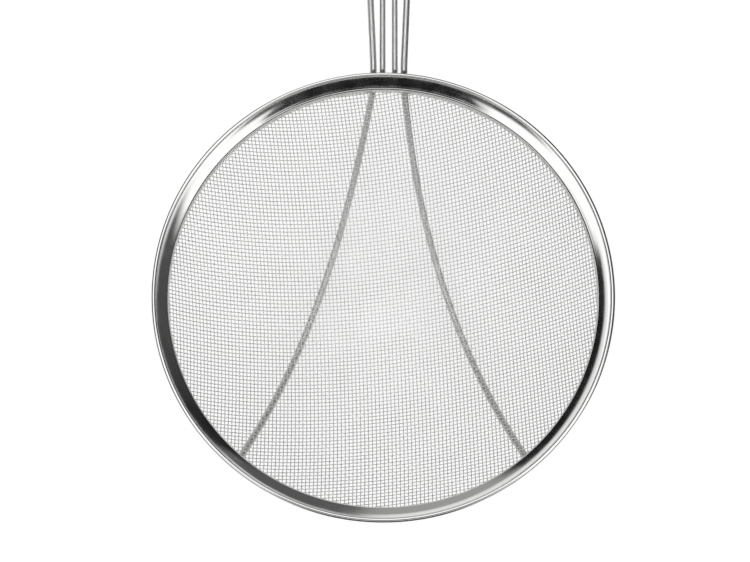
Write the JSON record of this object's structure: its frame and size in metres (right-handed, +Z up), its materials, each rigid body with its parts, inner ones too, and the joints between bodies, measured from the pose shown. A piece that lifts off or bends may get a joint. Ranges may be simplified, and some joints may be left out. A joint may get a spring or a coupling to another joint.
{
  "type": "wire-framed bowl strainer",
  "caption": "Round strainer: a bowl of woven steel wire in a rolled ring, with a bent wire that is both cradle and long handle.",
  "frame": {"origin": "middle of the ring, in the plane of the underside of its rolled edge", "axes": "+Z up out of the bowl along the ring's axis, +Y from the ring towards the handle's tip, +X to the right seen from above with the handle pointing away"},
  "size_m": [0.26, 0.4493, 0.0813],
  "materials": {
    "ring_steel": "polished stainless sheet",
    "hoop_steel": "satin stainless strip",
    "cloth_steel": "bright drawn stainless wire, plain weave",
    "wire_steel": "polished stainless rod",
    "weld_steel": "cleaned weld metal"
  },
  "bodies": {
    "root": {"rim_band": "ring_steel", "rim_core_wire": "ring_steel", "clamp_hoop": "hoop_steel", "mesh_bowl": "cloth_steel", "frame_wire": "wire_steel", "hairpin_wire": "wire_steel", "ring_welds": "weld_steel", "cradle_welds": "weld_steel", "tip_weld": "weld_steel"}
  },
  "joints": []
}
